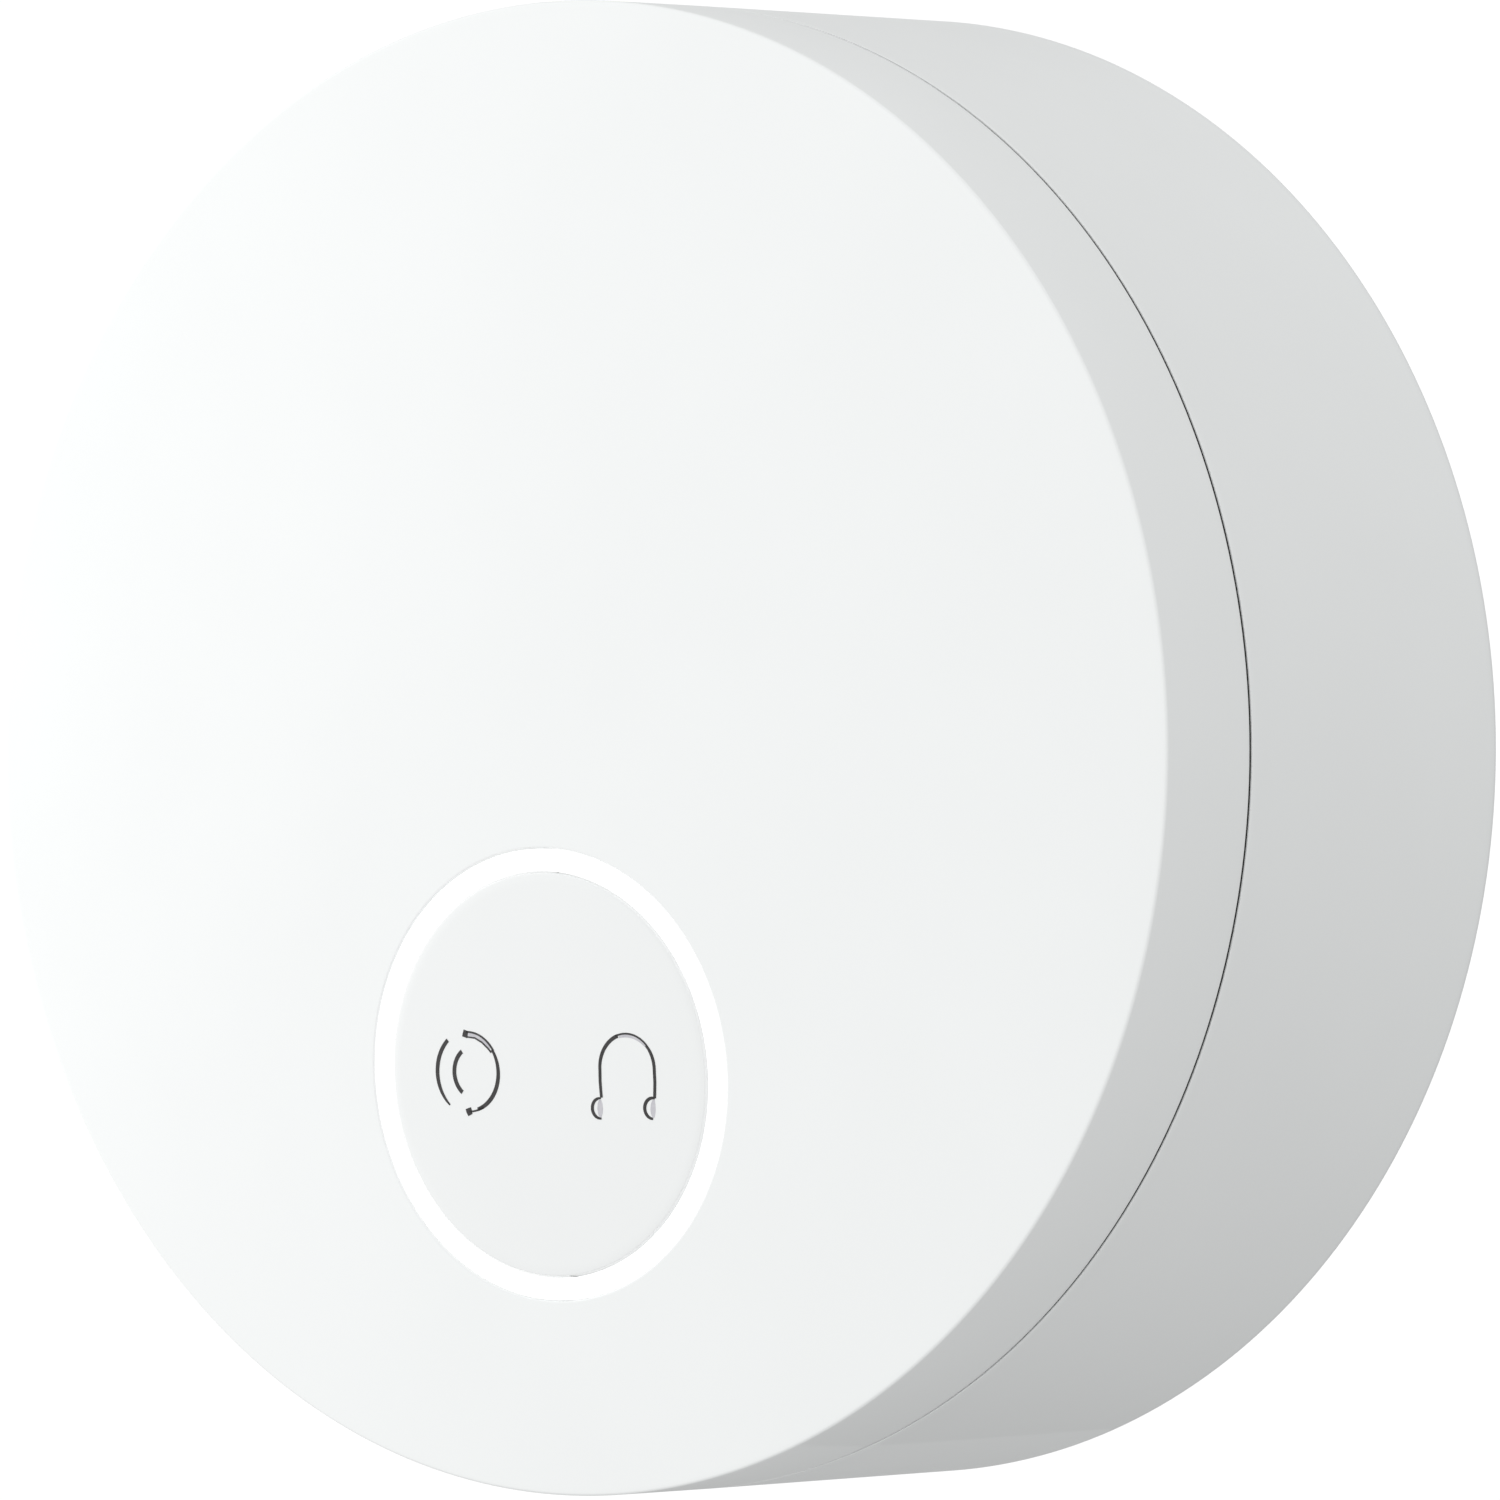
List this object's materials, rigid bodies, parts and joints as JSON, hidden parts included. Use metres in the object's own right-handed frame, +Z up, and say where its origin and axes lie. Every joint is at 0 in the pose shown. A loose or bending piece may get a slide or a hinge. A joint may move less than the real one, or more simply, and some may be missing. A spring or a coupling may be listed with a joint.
{
  "type": "smoke detector",
  "caption": "Round wall-mounted smoke alarm with a domed white face, a lit ring around a two-way rocking key, and a twist-lock mounting plate.",
  "frame": {"origin": "centre of the mounting plate's back face, on the wall", "axes": "+Y into the wall, -Y out of the domed face, +Z up, +X to the right seen from the front"},
  "size_m": [0.1, 0.0483, 0.1],
  "materials": {
    "case_plastic": "fine satin moulding, white",
    "key_plastic": "satin white with dark grey printed pictograms",
    "opal_ring": "opal diffuser, lit from behind",
    "base_plastic": "off-white moulding",
    "clear_acrylic": "clear",
    "infrared_lens": "dark tinted lens",
    "led_package": "pale phosphor package",
    "black_plastic": "black moulding",
    "switch_plunger": "pale grey moulding",
    "circuit_board": "green solder mask",
    "steel": "zinc plated",
    "tinned_can": "bright can",
    "brass": "bright",
    "cell_sleeve": "printed sleeve, plain",
    "gasket_rubber": "black foam rubber"
  },
  "bodies": {
    "wall_plate": {"mounting_plate": "base_plastic"},
    "alarm": {"base_screw_1": "steel", "base_screw_2": "steel", "base_screw_3": "steel", "bayonet_base": "base_plastic", "board_link": "black_plastic", "board_screw_1": "steel", "board_screw_2": "steel", "board_screw_3": "steel", "body_shell": "case_plastic", "case_screw_1": "steel", "case_screw_2": "steel", "case_screw_3": "steel", "cell_contact_minus": "steel", "cell_contact_plus": "steel", "cell_holder": "black_plastic", "chamber_base": "black_plastic", "chamber_labyrinth": "black_plastic", "coil_antenna": "steel", "controller_chip": "black_plastic", "front_cover": "case_plastic", "infrared_led": "clear_acrylic", "insect_screen": "steel", "key_board": "circuit_board", "key_board_screw_left": "steel", "key_board_screw_right": "steel", "light_guide": "clear_acrylic", "light_ring": "opal_ring", "lithium_cell": "cell_sleeve", "main_board": "circuit_board", "photodiode": "infrared_lens", "piezo_disc": "brass", "radio_module": "tinned_can", "reservoir_capacitor": "tinned_can", "ring_led_1": "led_package", "ring_led_2": "led_package", "ring_led_3": "led_package", "ring_led_4": "led_package", "seam_gasket": "gasket_rubber", "sounder_cap": "black_plastic", "sounder_cup": "black_plastic", "switch_body_left": "black_plastic", "switch_body_right": "black_plastic"},
    "key": {"two_way_key": "key_plastic"},
    "left_plunger": {"switch_plunger_left": "switch_plunger"},
    "right_plunger": {"switch_plunger_right": "switch_plunger"}
  },
  "joints": [
    {"name": "twist_lock", "type": "hinge", "parent": "wall_plate", "child": "alarm", "pos_m": [0, 0, 0], "axis": [0, -1, 0], "range_deg": [0, 18]},
    {"name": "key_rock", "type": "hinge", "parent": "alarm", "child": "key", "pos_m": [0, -0.043, -0.0218], "axis": [0, 0, 1], "range_deg": [-1.5, 1.5], "stiffness_Nm_per_rad": 0.05},
    {"name": "left_plunger_travel", "type": "slide", "parent": "alarm", "child": "left_plunger", "axis": [0, 1, 0], "range_m": [-0.0002, 0.0002]},
    {"name": "right_plunger_travel", "type": "slide", "parent": "alarm", "child": "right_plunger", "axis": [0, 1, 0], "range_m": [-0.0002, 0.0002]}
  ],
  "couplings": [
    {"joint": "left_plunger_travel", "follows": "key_rock", "m_per_rad": -0.007},
    {"joint": "right_plunger_travel", "follows": "key_rock", "m_per_rad": 0.007}
  ]
}
